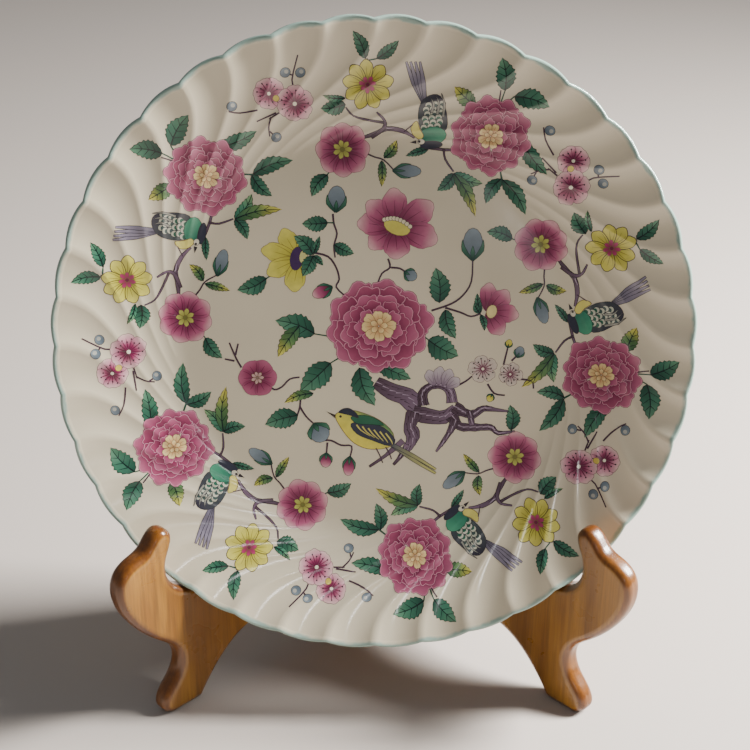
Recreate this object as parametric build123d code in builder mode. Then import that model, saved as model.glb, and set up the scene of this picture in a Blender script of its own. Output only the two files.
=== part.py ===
from build123d import *
import math
import os

os.makedirs("parts", exist_ok=True)

# ---------------------------------------------------------------- driving dimensions, mm and degrees
# Platter: a round chop plate with a fluted, swirled border
platter_diameter = 320.0      # over the bulges of the scalloped outline
scallop_depth = 2.0           # how far each cusp of the outline bites in
flute_count = 40
flute_depth = 2.0             # ridge to channel, at the rim
flutes_die_out_at = 0.62      # share of the radius where the flutes have faded away
swirl_at_0_79 = 10.9          # turn of a flute at 0.79 of the radius, degrees
well_radius = 95.0            # flat middle of the dish
cove_radius = 35.0            # bend between the well and the border
border_slope = 20.0           # rise of the border, degrees
body_thickness = 4.5
rim_thickness = 3.3
foot_ring_radius = 93.0       # outside of the foot ring
foot_ring_width = 4.0
foot_height = 3.0

# How the platter sits on the stand
platter_lean = 15.0           # back from upright, degrees
cradle_height = 73.80         # underside of the rim where it crosses a board
cradle_reach = 94.0           # centre plane to that crossing
back_rest_gap = 0.3           # boards to the back of the platter

# Stand: two boards hinged along their back edges
stand_half_angle = 45.0       # each board from the centre plane when open
board_thickness = 12.0
board_rounding = 4.5
board_top = 250.0
hinge_axis_y = 50.8
face_standoff = 1.5           # inner face of a board to the hinge axis
mitre_clearance = 0.15        # each board to the centre plane

# Butt hinges
hinge_levels = {"lower": 62.0, "upper": 196.0}
hinge_height = 34.0
hinge_leaf_width = 20.0
plate_thickness = 1.2
barrel_radius = 2.5
pin_radius = 1.5
running_clearance = 0.08
screw_reach = 12.0            # hinge axis to the screws
screw_spread = 22.0
screw_head_radius = 2.3
screw_shank_radius = 1.1
screw_length = 8.5


# ---------------------------------------------------------------- platter
cusp_radius = platter_diameter / 2 - scallop_depth
well_height = foot_height + body_thickness


def dish_height(radius):
    """Height of the front surface above the table, before fluting."""
    slope = math.radians(border_slope)
    cove_end = well_radius + cove_radius * math.sin(slope)
    if radius <= well_radius:
        return well_height
    if radius <= cove_end:
        return well_height + cove_radius - math.sqrt(cove_radius**2 - (radius - well_radius) ** 2)
    cove_rise = cove_radius * (1 - math.cos(slope))
    return well_height + cove_rise + (radius - cove_end) * math.tan(slope)


def swirl(radius):
    """Turn of the flutes away from radial, anticlockwise towards the middle."""
    share = max(radius / cusp_radius, flutes_die_out_at + 0.02)
    return swirl_at_0_79 * (max(0.0, 1 - share) / 0.21) ** 2.5


def flute_share(radius):
    """0 where the flutes have died out, 1 at the rim."""
    share = (radius / cusp_radius - flutes_die_out_at) / (1 - flutes_die_out_at)
    return min(1.0, max(0.0, share))


def scallop_share(radius):
    """0 on the smooth part of the dish, 1 at the scalloped outline."""
    return max(0.0, (radius / cusp_radius - 0.8) / 0.2)


def fluted_ring(radius, height, depth, bulge, turn):
    """Closed curve round the platter: ridges at the cusps, hollow channels between."""
    steps = 4
    points = []
    for i in range(flute_count * steps):
        across = (i % steps) / steps
        ridge = abs(1 - 2 * across) ** 2
        angle = math.radians(90 + 360 * i / (flute_count * steps) + turn)
        reach = radius + bulge * (1 - ridge)
        points.append((reach * math.cos(angle), reach * math.sin(angle), height + depth * ridge))
    return Edge.make_spline([Vector(*p) for p in points], periodic=True)


def dish_ring(radius, drop, depth):
    """Ring of the front surface, or of a surface lying `drop` below it."""
    return fluted_ring(
        radius,
        dish_height(radius) - drop,
        depth * flute_share(radius),
        scallop_depth * scallop_share(radius),
        swirl(radius),
    )


def ring_radii(inner, outer):
    """Radii from inner to outer, closer together where the flutes turn fast."""
    radii = [inner]
    while radii[-1] < outer - 1.0:
        step = 6.0
        while abs(swirl(radii[-1] + step) - swirl(radii[-1])) > 2.6:
            step *= 0.9
        radii.append(min(radii[-1] + step, outer))
    return radii


border_radii = ring_radii(well_radius + 3.5, cusp_radius - 3.0)
rim_height = dish_height(cusp_radius)
base_radius = well_radius + 1.5

# up the front, round the edge, and back down the underside to the flat base
rings = [dish_ring(well_radius - 4.0, 0.0, 0.0)]
for radius in border_radii:
    rings.append(dish_ring(radius, 0.0, flute_depth))
for inset, drop in ((0.7, 0.1), (0.0, 0.5), (0.7, 0.9)):
    rings.append(
        fluted_ring(
            cusp_radius - inset,
            rim_height - drop * rim_thickness,
            flute_depth,
            scallop_depth,
            0.0,
        )
    )
for radius in reversed(border_radii):
    share = min(1.0, (cusp_radius - radius) / 40.0)
    thickness = rim_thickness + (body_thickness - rim_thickness) * share
    rings.append(dish_ring(radius, thickness, 0.8 * flute_depth))
rings.append(dish_ring(base_radius, dish_height(base_radius) - foot_height, 0.0))

skin = [Face.make_surface_from_curves(one, two) for one, two in zip(rings, rings[1:])]
well_floor = Face(Wire([rings[0]]))
base_floor = Face(Wire([rings[-1]]))

with BuildPart() as dish:
    add(Solid(Shell([well_floor, *skin, base_floor])))
    # foot ring under the well, its standing edge rounded
    with BuildSketch(Plane.XZ):
        with Locations((foot_ring_radius - foot_ring_width / 2, foot_height / 2 + 0.3)):
            foot_section = Rectangle(foot_ring_width, foot_height + 0.6)
        fillet(foot_section.vertices().group_by(Axis.Y)[0], radius=1.2)
    revolve(axis=Axis.Z)

# stood up on the stand, leaning back
lean = math.radians(platter_lean)
rim_drop = math.sqrt((cusp_radius + 0.5) ** 2 - cradle_reach**2)
platter_centre_y = (
    hinge_axis_y
    - cradle_reach / math.tan(math.radians(stand_half_angle))
    + rim_drop * math.sin(lean)
)
platter_centre_height = cradle_height + rim_drop * math.cos(lean)
foot_y = platter_centre_y + rim_height * math.cos(lean)
foot_z = platter_centre_height - rim_height * math.sin(lean)
platter_base = Location((0, foot_y, foot_z), (90 - platter_lean, 0, 0))
with BuildPart() as platter:
    add(dish.part.moved(platter_base))
platter.part.label = "platter"

# ---------------------------------------------------------------- stand boards
open_angle = math.radians(stand_half_angle)
along = Vector(-math.sin(open_angle), -math.cos(open_angle), 0)
outward = Vector(-math.cos(open_angle), math.sin(open_angle), 0)


def board_plane(offset):
    """Plane along the left board; x runs forward from the hinge axis, y up."""
    origin = Vector(0, hinge_axis_y, 0) + outward * offset
    return Plane(origin=origin, x_dir=along, z_dir=outward)


def back_rest_point(height, lift):
    """Point of the back-rest edge that just clears a plane `lift` above the platter's foot."""
    behind = foot_y + (height - foot_z) * math.tan(lean) - lift / math.cos(lean) + back_rest_gap
    rounding = (
        board_rounding * math.cos(open_angle)
        + (face_standoff + board_rounding) * math.sin(open_angle)
        - board_rounding
    )
    return ((hinge_axis_y + rounding - behind) / math.cos(open_angle), height)


# the back-rest touches the foot ring low down and the base inside it at the top
low_rest = back_rest_point(120.0, 0.0)
top_rest = back_rest_point(board_top - 12.0, foot_height)
rest_lean = (top_rest[0] - low_rest[0]) / (top_rest[1] - low_rest[1])
shoulder = (low_rest[0] + (105.0 - 120.0) * rest_lean, 105.0)
peak = (low_rest[0] + (board_top - 120.0) * rest_lean, board_top)

rear_end = -16.0
plate_front = face_standoff - 0.2
plate_back = plate_front + plate_thickness

with BuildPart() as stand_leaf_left:
    with BuildSketch(board_plane(face_standoff)) as board_outline:
        with BuildLine():
            back_foot = Line((rear_end, 0), (20, 0))
            arch = Spline((20, 0), (27, 13), (46, 26), (74, 31), (101, 26.5), (116, 15), (128, 0))
            front_foot = Line(arch @ 1, (147, 0))
            leg = Spline(
                (147, 0), (153, 7), (150, 14), (143.5, 22), (140.5, 31), (143, 40),
                (152, 49.5), (162.5, 60.5), (170.5, 73), (174.5, 86), (172.5, 97),
                (164.5, 103), (156.5, 106), (151.5, 111.5), (145.5, 114.5), (140.5, 111),
                (140.8, 104), (143.8, 96.5), (144.5, 89.5), (142.2, 82), (136.8, 76.4),
                (129.3, 74.1), (121.6, 75.8), (112.8, 81.3), (103, 88.5), (shoulder[0] + 9, 96.6),
                shoulder,
            )
            back_rest = Line(leg @ 1, peak)
            crown = Line(back_rest @ 1, (rear_end, board_top - 6))
            rear = Line(crown @ 1, (rear_end, 0))
        make_face()
        for height, radius in ((board_top, 14), (105, 25), (0, 3)):
            corners = [
                v for v in board_outline.vertices() if abs(v.Y - height) < 0.1 and v.X > rear_end + 1
            ]
            fillet(corners, radius=radius)
    extrude(amount=board_thickness)
    # rounded over all round, except along the hinge side
    outline = []
    for edge in stand_leaf_left.edges():
        across = abs((edge @ 1 - edge @ 0).dot(outward))
        reach = (edge.center() - Vector(0, hinge_axis_y, 0)).dot(along)
        if across < board_thickness - 0.01 and reach > rear_end + 1:
            outline.append(edge)
    fillet(outline, radius=board_rounding)
    # mitred rear edge: the boards meet on the centre plane when open
    with BuildSketch(Plane.XY):
        with Locations((100 - mitre_clearance, hinge_axis_y)):
            Rectangle(200, 120)
    extrude(amount=board_top + 20, mode=Mode.SUBTRACT)
    for level in hinge_levels.values():
        # seat for the hinge plate, let in flush
        with BuildSketch(board_plane(face_standoff - 3)):
            with Locations((hinge_leaf_width / 2 - 2, level)):
                Rectangle(hinge_leaf_width + 4.2, hinge_height + 0.2)
        extrude(amount=3 + plate_back - face_standoff + 0.1, mode=Mode.SUBTRACT)
        # relief for the barrel
        with BuildSketch(Plane.XY.offset(level - hinge_height / 2 - 2)):
            with Locations((0, hinge_axis_y)):
                Circle(barrel_radius + 0.4)
        extrude(amount=hinge_height + 4, mode=Mode.SUBTRACT)
        # pilot holes for the screws
        with BuildSketch(board_plane(face_standoff)):
            with Locations((screw_reach, level)):
                with GridLocations(0, screw_spread, 1, 2):
                    Circle(screw_shank_radius + running_clearance)
        extrude(amount=screw_length + 1, mode=Mode.SUBTRACT)

with BuildPart() as stand_leaf_right:
    mirror(stand_leaf_left.part, about=Plane.YZ)

# ---------------------------------------------------------------- butt hinges, built at floor level
knuckle_gap = 0.2
knuckle_height = (hinge_height - 2 * knuckle_gap) / 3
knuckle_step = knuckle_height + knuckle_gap


def hinge_plate(side, knuckles, others):
    """One leaf of a hinge with its share of the knuckles; side is -1 left, 1 right."""
    with BuildPart() as plate:
        with BuildSketch(board_plane(plate_front)):
            with Locations((hinge_leaf_width / 2, 0)):
                Rectangle(hinge_leaf_width, hinge_height)
        extrude(amount=plate_thickness)
        front_corners = plate.edges().filter_by(lambda e: abs((e @ 1 - e @ 0).dot(outward)) > 1)
        fillet(front_corners.sort_by(Axis.X)[:2], radius=2.0)
        # room for the knuckles of the other plate
        for slot in others:
            with BuildSketch(Plane.XY.offset((slot - 0.5) * knuckle_step - knuckle_gap / 2)):
                with Locations((0, hinge_axis_y)):
                    Circle(barrel_radius + 0.3)
            extrude(amount=knuckle_step + knuckle_gap / 2, mode=Mode.SUBTRACT)
        for slot in knuckles:
            with BuildSketch(Plane.XY.offset(slot * knuckle_step - knuckle_height / 2)):
                with Locations((0, hinge_axis_y)):
                    Circle(barrel_radius)
            extrude(amount=knuckle_height)
        with BuildSketch(Plane.XY.offset(-hinge_height)):
            with Locations((0, hinge_axis_y)):
                Circle(pin_radius + running_clearance)
        extrude(amount=2 * hinge_height, mode=Mode.SUBTRACT)
        # countersunk screw holes
        for height in (-screw_spread / 2, screw_spread / 2):
            with BuildSketch(board_plane(plate_front)):
                with Locations((screw_reach, height)):
                    Circle(screw_head_radius + running_clearance)
            with BuildSketch(board_plane(plate_back)):
                with Locations((screw_reach, height)):
                    Circle(screw_shank_radius + running_clearance)
            loft(mode=Mode.SUBTRACT)
    if side < 0:
        return plate.part
    return plate.part.mirror(Plane.YZ)


def screw_pair(side):
    """Two countersunk slotted wood screws for one plate."""
    with BuildPart() as screws:
        for height in (-screw_spread / 2, screw_spread / 2):
            with BuildSketch(board_plane(plate_front)):
                with Locations((screw_reach, height)):
                    Circle(screw_head_radius)
            with BuildSketch(board_plane(plate_back)):
                with Locations((screw_reach, height)):
                    Circle(screw_shank_radius)
            loft()
            with BuildSketch(board_plane(plate_back)):
                with Locations((screw_reach, height)):
                    Circle(screw_shank_radius)
            extrude(amount=screw_length - plate_thickness - 1.5)
            with BuildSketch(board_plane(plate_front + screw_length - 1.5)):
                with Locations((screw_reach, height)):
                    Circle(screw_shank_radius)
            extrude(amount=1.5, taper=35)
            with BuildSketch(board_plane(plate_front - 0.1)):
                with Locations((screw_reach, height)):
                    Rectangle(0.6, 2 * screw_head_radius + 1, rotation=35)
            extrude(amount=0.6, mode=Mode.SUBTRACT)
    if side < 0:
        return screws.part
    return screws.part.mirror(Plane.YZ)


with BuildPart() as hinge_left_plate:
    add(hinge_plate(-1, (-1, 1), (0,)))
with BuildPart() as hinge_right_plate:
    add(hinge_plate(1, (0,), (-1, 1)))
with BuildPart() as hinge_pin:
    with BuildSketch(Plane.XY.offset(-hinge_height / 2 - 0.15)):
        with Locations((0, hinge_axis_y)):
            Circle(pin_radius)
    extrude(amount=hinge_height + 0.3)
    for end in (-1, 1):
        with Locations((0, hinge_axis_y, end * (hinge_height / 2 + 0.15))):
            head_side = Align.MIN if end > 0 else Align.MAX
            Cylinder(barrel_radius - 0.3, 1.2, align=(Align.CENTER, Align.CENTER, head_side))
    heads = hinge_pin.edges().filter_by(GeomType.CIRCLE).sort_by(Axis.Z)
    fillet([heads[0], heads[-1]], radius=0.7)
with BuildPart() as left_screws:
    add(screw_pair(-1))
with BuildPart() as right_screws:
    add(screw_pair(1))

# ---------------------------------------------------------------- names and files
platter.part.label = "platter"
export_step(platter.part, "parts/platter.step")
stand_leaf_left.part.label = "stand_leaf_left"
export_step(stand_leaf_left.part, "parts/stand_leaf_left.step")
stand_leaf_right.part.label = "stand_leaf_right"
export_step(stand_leaf_right.part, "parts/stand_leaf_right.step")

hinge_pieces = {
    "hinge_left_plate": hinge_left_plate,
    "hinge_right_plate": hinge_right_plate,
    "hinge_pin": hinge_pin,
    "left_screws": left_screws,
    "right_screws": right_screws,
}
for level_name, level in hinge_levels.items():
    for piece_name, built in hinge_pieces.items():
        with BuildPart(Location((0, 0, level))) as placed:
            add(built.part)
        node_name = level_name + "_" + piece_name
        placed.part.label = node_name
        export_step(placed.part, "parts/" + node_name + ".step")
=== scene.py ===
import math
import random

import bpy
from mathutils import Matrix, Vector
from mathutils.geometry import delaunay_2d_cdt


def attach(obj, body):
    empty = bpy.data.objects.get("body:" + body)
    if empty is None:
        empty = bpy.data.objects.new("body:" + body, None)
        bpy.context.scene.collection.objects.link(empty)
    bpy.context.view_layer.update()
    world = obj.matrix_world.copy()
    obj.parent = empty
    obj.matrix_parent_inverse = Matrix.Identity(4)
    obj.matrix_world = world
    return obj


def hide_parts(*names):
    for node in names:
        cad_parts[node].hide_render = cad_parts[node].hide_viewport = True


bl_info = {
    "name": "China platter on a folding stand",
    "version": (1, 0, 0),
    "blender": (4, 5, 0),
    "location": "View3D > Sidebar > Platter",
    "description": "Fluted china serving platter with painted sprays, on a folding oak stand",
    "category": "Object",
}

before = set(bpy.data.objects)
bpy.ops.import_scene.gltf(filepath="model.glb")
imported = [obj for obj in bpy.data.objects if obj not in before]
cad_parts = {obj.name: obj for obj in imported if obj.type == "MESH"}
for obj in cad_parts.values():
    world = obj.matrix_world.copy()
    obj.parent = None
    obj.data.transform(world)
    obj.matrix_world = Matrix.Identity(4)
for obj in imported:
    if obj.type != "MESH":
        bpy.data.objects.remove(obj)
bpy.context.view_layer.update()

MM = 0.001
LEAN = math.radians(15.0)  # the platter leans back on its stand
REPEATS = 5  # border sprays round the dish
SLIP = math.radians(4.1)  # most that a border spray sits off even spacing

# form of the dish, in mm or as shares of the cusp radius
WELL_HEIGHT = 7.5
RIM_THICKNESS = 3.3
BODY_EXTRA = 1.2  # the body is thicker than the rim by this
THICKEN_OVER = 40.0
FLUTE_START, FLUTE_SPAN = 0.62, 0.38
SCALLOP_START, SCALLOP_SPAN = 0.8, 0.2
TURN_START, TURN_SPAN, TURN_POWER = 0.64, 0.21, 2.5
BACK_FLUTES = 0.8  # the flutes are shallower on the back

# rings of the half section, in mm
AXIS_GAP = 0.02  # the first and last ring stay just off the axis
FRONT_END, FRONT_LAST = 154.4, 154.8
FINE_END, FINE_STEP, WIDE_STEP = 128, 1.5, 2.2
BACK_START, BACK_END, BACK_STEP = 154.5, 99.0, 3.0
LINE_START, LINE_FADE = 154.0, 3.0
# inset from the cusps, drop below the rim, and edge line
EDGE = ((1.9, 0.20, 0.55), (1.0, 0.10, 0.9), (0.35, 0.55, 1.0), (0.0, 1.35, 1.0), (0.1, 2.1, 1.0),
        (0.8, 2.9, 0.8), (1.8, 3.25, 0.4))
# radius and height of the foot ring and the base inside it
FOOT = ((97.0, 3.05), (94.0, 3.0), (93.2, 2.8), (93.0, 2.2), (93.0, 1.1), (92.6, 0.35), (91.8, 0.0),
        (90.2, 0.0), (89.4, 0.35), (89.0, 1.1), (89.0, 2.3), (88.7, 2.9), (87.0, 3.0), (60.0, 3.0),
        (30.0, 3.0), (AXIS_GAP, 3.0))
FEWEST_FACES = 1000

# the painted films, in mm
WELD = 0.01  # points closer than this are one
GRID = 3.0  # spacing of the points inside a film, so that it can follow the dish
CREST_START, CREST_STEP, CREST_POINTS = 97.0, 2.0, 31
FILM_LIFT = 0.06  # top of a film above the glaze
FILM_DEPTH = 0.3  # its underside below the glaze

# the studio, in metres
CAMERA_DROP = 0.0143  # the camera looks this much below the middle of the rim
CAMERA_SHIFT = 0.0005  # and this much to its right
FLOOR_REACH = 3


# ------------------------------------------------------------------ settings
def float_field(name, about, default, **more):
    return bpy.props.FloatProperty(name=name, description=about, default=default, **more)


def count_field(name, about, default, least):
    return bpy.props.IntProperty(name=name, description=about, default=default, min=least)


def angle_field(name, about, degrees):
    return float_field(name, about, math.radians(degrees), subtype="ANGLE")


def colour_field(name, about, default):
    return bpy.props.FloatVectorProperty(
        name=name, description=about, subtype="COLOR", size=3, default=default)


class PlatterSizes(bpy.types.PropertyGroup):
    """Sizes of the platter, in millimetres on its own axis."""

    flutes: count_field("Flutes", "Flutes round the border", 40, 10)
    flute_depth: float_field("Flute depth", "Ridge to channel at the rim, mm", 2.0, min=0.0)
    scallop_depth: float_field("Scallop depth", "Bite of each cusp of the outline, mm", 2.0,
                               min=0.0)
    cusp_radius: float_field("Cusp radius", "Axis to the cusps of the outline, mm", 158.0)
    well_radius: float_field("Well radius", "Flat middle of the dish, mm", 95.0)
    cove_radius: float_field("Cove radius", "Bend between well and border, mm", 35.0)
    border_slope: angle_field("Border slope", "Rise of the border", 20.0)
    swirl: angle_field("Swirl", "Turn of a flute at 0.79 of the radius", 10.9)
    steps: count_field("Steps", "Faces across one flute", 10, 4)


class FinishColours(bpy.types.PropertyGroup):
    """Colours of the glaze, the edge line, the oak and the brass."""

    glaze: colour_field("Glaze", "Cream glaze", (0.66, 0.59, 0.44))
    edge_line: colour_field("Edge line", "Grey-green enamel on the rim", (0.30, 0.42, 0.36))
    oak_light: colour_field("Oak, light", "Light bands of the oak", (0.34, 0.155, 0.020))
    oak_dark: colour_field("Oak, dark", "Dark fibres of the oak", (0.20, 0.078, 0.009))
    # painted shade: a darkening tint laid on the rounded edges of the boards
    painted_edge_shade: colour_field("Edge shade", "Tint of the rounded edges of the boards",
                             (0.60, 0.45, 0.38))
    brass: colour_field("Brass", "Hinges and screws", (0.60, 0.40, 0.16))


class StudioSettings(bpy.types.PropertyGroup):
    """Camera and light."""

    pitch: angle_field("Camera pitch", "Downward look of the camera", 27.8)
    distance: float_field("Camera distance", "To the middle of the rim, m", 0.741, unit="LENGTH")
    lens: float_field("Lens", "Focal length, mm", 72.0)
    window_power: float_field("Window", "Power of the big side light, W", 94.0)
    fill: float_field("Fill", "Strength of the sky", 0.20)


# ------------------------------------------------------------------ form of the dish
def sizes():
    return bpy.context.scene.platter_sizes


def colours():
    return bpy.context.scene.platter_colours


def dish_height(radius):
    """Height of the smooth front surface above the foot, mm."""
    s = sizes()
    bend_end = s.well_radius + s.cove_radius * math.sin(s.border_slope)
    if radius <= s.well_radius:
        return WELL_HEIGHT
    if radius <= bend_end:
        run = radius - s.well_radius
        return WELL_HEIGHT + s.cove_radius - math.sqrt(s.cove_radius**2 - run**2)
    rise = s.cove_radius * (1 - math.cos(s.border_slope))
    return WELL_HEIGHT + rise + (radius - bend_end) * math.tan(s.border_slope)


def flute_share(radius):
    """Share of the full flute depth."""
    return min(1.0, max(0.0, (radius / sizes().cusp_radius - FLUTE_START) / FLUTE_SPAN))


def scallop_share(radius):
    """Share of the full scallop depth."""
    return max(0.0, (radius / sizes().cusp_radius - SCALLOP_START) / SCALLOP_SPAN)


def flute_turn(radius):
    """Angle that a flute has turned by."""
    share = max(radius / sizes().cusp_radius, TURN_START)
    return sizes().swirl * (max(0.0, 1 - share) / TURN_SPAN) ** TURN_POWER


def platter_place():
    """Matrix from the platter's own axes to the frame, read from the CAD platter."""
    tilt = Matrix.Rotation(math.pi / 2 - LEAN, 4, "X")
    back = tilt.inverted()
    own = [back @ v.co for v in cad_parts["platter"].data.vertices]
    middle = [(min(p[i] for p in own) + max(p[i] for p in own)) / 2 for i in (0, 1)]
    foot = min(p.z for p in own)
    return tilt @ Matrix.Translation((middle[0], middle[1], foot))


# ------------------------------------------------------------------ node helpers
def new_tree(name, kind, inputs, outputs):
    """Empty node group with named sockets; returns the tree, its input node and its output node."""
    tree = bpy.data.node_groups.new(name, kind)
    for label, socket, value in inputs:
        item = tree.interface.new_socket(name=label, in_out="INPUT", socket_type=socket)
        if value is not None:
            item.default_value = value
    for label, socket in outputs:
        tree.interface.new_socket(name=label, in_out="OUTPUT", socket_type=socket)
    return tree, tree.nodes.new("NodeGroupInput"), tree.nodes.new("NodeGroupOutput")


def node(tree, kind, settings=None, **inputs):
    """Add a node; settings are its properties, inputs are values or sockets by name or number."""
    made = tree.nodes.new(kind)
    for key, value in (settings or {}).items():
        setattr(made, key, value)
    feed(tree, made, **inputs)
    return made


def feed(tree, made, **inputs):
    """Link or set a node's inputs."""
    for key, value in inputs.items():
        spot = made.inputs[int(key[1:]) if key[0] == "_" else key.replace("_", " ")]
        if isinstance(value, bpy.types.NodeSocket):
            tree.links.new(value, spot)
        else:
            spot.default_value = value


def sums(tree, operation, a, b=0.0):
    """Result of one step of arithmetic."""
    return node(tree, "ShaderNodeMath", {"operation": operation}, _0=a, _1=b).outputs[0]


def apply_tree(obj, tree, values, name):
    """Run a geometry tree on obj, and give back the plain mesh it makes."""
    modifier = obj.modifiers.new(name, "NODES")
    modifier.node_group = tree
    for item in tree.interface.items_tree:
        if item.item_type == "SOCKET" and item.in_out == "INPUT" and item.name in values:
            modifier[item.identifier] = values[item.name]
    bpy.context.view_layer.update()
    depsgraph = bpy.context.evaluated_depsgraph_get()
    mesh = bpy.data.meshes.new_from_object(obj.evaluated_get(depsgraph))
    obj.modifiers.remove(modifier)
    return mesh


def place_piece(name, mesh, body, slot, *stands_for):
    """Put a finished mesh in the scene as a piece on a body."""
    mesh.name = name
    piece = bpy.data.objects.new(name, mesh)
    bpy.context.scene.collection.objects.link(piece)
    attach(piece, body)
    if stands_for:
        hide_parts(*stands_for)
    return piece


# ------------------------------------------------------------------ shared effects
def unevenness_group():
    """Slow change of tone and a fine height, for fired and polished surfaces."""
    made = bpy.data.node_groups.get("Unevenness")
    if made:
        return made
    tree, given, result = new_tree(
        "Unevenness", "ShaderNodeTree",
        [("Vector", "NodeSocketVector", None), ("Scale", "NodeSocketFloat", 20.0),
         ("Low", "NodeSocketFloat", 0.0), ("High", "NodeSocketFloat", 1.0)],
        [("Value", "NodeSocketFloat"), ("Height", "NodeSocketFloat")])
    broad = node(tree, "ShaderNodeTexNoise", None, Vector=given.outputs["Vector"],
                 Scale=given.outputs["Scale"], Detail=3.0, Roughness=0.55)
    fine_scale = sums(tree, "MULTIPLY", given.outputs["Scale"], 3.7)
    fine = node(tree, "ShaderNodeTexNoise", None, Vector=given.outputs["Vector"], Scale=fine_scale,
                Detail=4.0, Roughness=0.6)
    span = node(tree, "ShaderNodeMapRange", None, Value=broad.outputs["Fac"], From_Min=0.3,
                From_Max=0.7, To_Min=given.outputs["Low"], To_Max=given.outputs["High"])
    fine_part = sums(tree, "MULTIPLY", fine.outputs["Fac"], 0.25)
    feed(tree, result, Value=span.outputs["Result"],
         Height=sums(tree, "ADD", broad.outputs["Fac"], fine_part))
    return tree


def grain_group():
    """Oak grain along Z: growth bands and fibres."""
    tree, given, result = new_tree(
        "Oak grain", "ShaderNodeTree",
        [("Vector", "NodeSocketVector", None), ("Band scale", "NodeSocketFloat", 55.0),
         ("Fibre scale", "NodeSocketFloat", 640.0)],
        [("Bands", "NodeSocketFloat"), ("Fibres", "NodeSocketFloat"),
         ("Height", "NodeSocketFloat")])
    slow = node(tree, "ShaderNodeMapping", None, Vector=given.outputs["Vector"],
                Scale=(1.0, 1.0, 0.09))
    long = node(tree, "ShaderNodeMapping", None, Vector=given.outputs["Vector"],
                Scale=(1.0, 1.0, 0.035))
    wander = node(tree, "ShaderNodeTexNoise", None, Vector=slow.outputs[0], Scale=16.0, Detail=2.0)
    shifted = node(tree, "ShaderNodeMix", {"data_type": "VECTOR"}, Factor=0.045,
                   A=slow.outputs[0], B=wander.outputs["Color"])
    bands = node(tree, "ShaderNodeTexNoise", None, Vector=shifted.outputs["Result"],
                 Scale=given.outputs["Band scale"], Detail=3.0, Roughness=0.6, Distortion=0.4)
    band_span = node(tree, "ShaderNodeMapRange", {"interpolation_type": "SMOOTHSTEP"},
                     Value=bands.outputs["Fac"], From_Min=0.35, From_Max=0.66)
    fibres = node(tree, "ShaderNodeTexNoise", None, Vector=long.outputs[0],
                  Scale=given.outputs["Fibre scale"], Detail=4.0, Roughness=0.7)
    fibre_span = node(tree, "ShaderNodeMapRange", None, Value=fibres.outputs["Fac"], From_Min=0.38,
                      From_Max=0.68)
    feed(tree, result, Bands=band_span.outputs["Result"], Fibres=fibre_span.outputs["Result"],
         Height=fibre_span.outputs["Result"])
    return tree


def new_material(name):
    """Material with its Principled shader; returns material, tree and shader."""
    material = bpy.data.materials.new(name)
    material.use_nodes = True
    tree = material.node_tree
    return material, tree, tree.nodes["Principled BSDF"]


def uneven(tree, scale, low, high):
    """The Unevenness group placed in a material, on Object coordinates."""
    place = tree.nodes.new("ShaderNodeTexCoord")
    return node(tree, "ShaderNodeGroup", {"node_tree": unevenness_group()},
                Vector=place.outputs["Object"], Scale=scale, Low=low, High=high)


def bump(tree, height, strength, distance):
    made = node(tree, "ShaderNodeBump", None, Strength=strength, Distance=distance, Height=height)
    return made.outputs["Normal"]


def mix(tree, factor, first, second, blend="MIX"):
    """Second colour laid over the first by a factor."""
    made = node(tree, "ShaderNodeMix", {"data_type": "RGBA", "blend_type": blend}, Factor=factor,
                _6=first, _7=second)
    return made.outputs[2]


def shade(tree, colour, value):
    """Colour made lighter or darker by a value near 1."""
    return mix(tree, 1.0, colour, value, "MULTIPLY")


def glaze_material():
    """Cream glaze with the enamel line on the edge."""
    material, tree, shader = new_material("Cream glaze")
    tone = uneven(tree, 14.0, 0.95, 1.03)
    cream = shade(tree, (*colours().glaze, 1), tone.outputs["Value"])
    line = node(tree, "ShaderNodeAttribute", {"attribute_name": "edge_line"})
    worn = uneven(tree, 90.0, 0.25, 0.75).outputs["Value"]
    cut = node(tree, "ShaderNodeMapRange", {"interpolation_type": "SMOOTHSTEP"},
               Value=line.outputs["Fac"], From_Min=sums(tree, "MULTIPLY", worn, 0.5),
               From_Max=sums(tree, "ADD", worn, 0.12), To_Max=1.0)
    feed(tree, shader,
         Base_Color=mix(tree, cut.outputs["Result"], cream, (*colours().edge_line, 1)),
         Roughness=uneven(tree, 30.0, 0.10, 0.17).outputs["Value"],
         Coat_Weight=0.35, Coat_Roughness=0.06, IOR=1.5,
         Normal=bump(tree, uneven(tree, 60.0, 0.0, 1.0).outputs["Height"], 0.25, 0.0003))
    return material


def enamel_material():
    """Painted enamels fired on the glaze; the colour is the mesh's own."""
    material, tree, shader = new_material("Painted enamel")
    paint = node(tree, "ShaderNodeVertexColor", {"layer_name": "paint"})
    tone = uneven(tree, 260.0, 0.90, 1.08)
    feed(tree, shader,
         Base_Color=shade(tree, paint.outputs["Color"], tone.outputs["Value"]),
         Roughness=uneven(tree, 120.0, 0.14, 0.26).outputs["Value"],
         Coat_Weight=0.3, Coat_Roughness=0.08,
         Normal=bump(tree, tone.outputs["Height"], 0.2, 0.00015))
    return material


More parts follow.
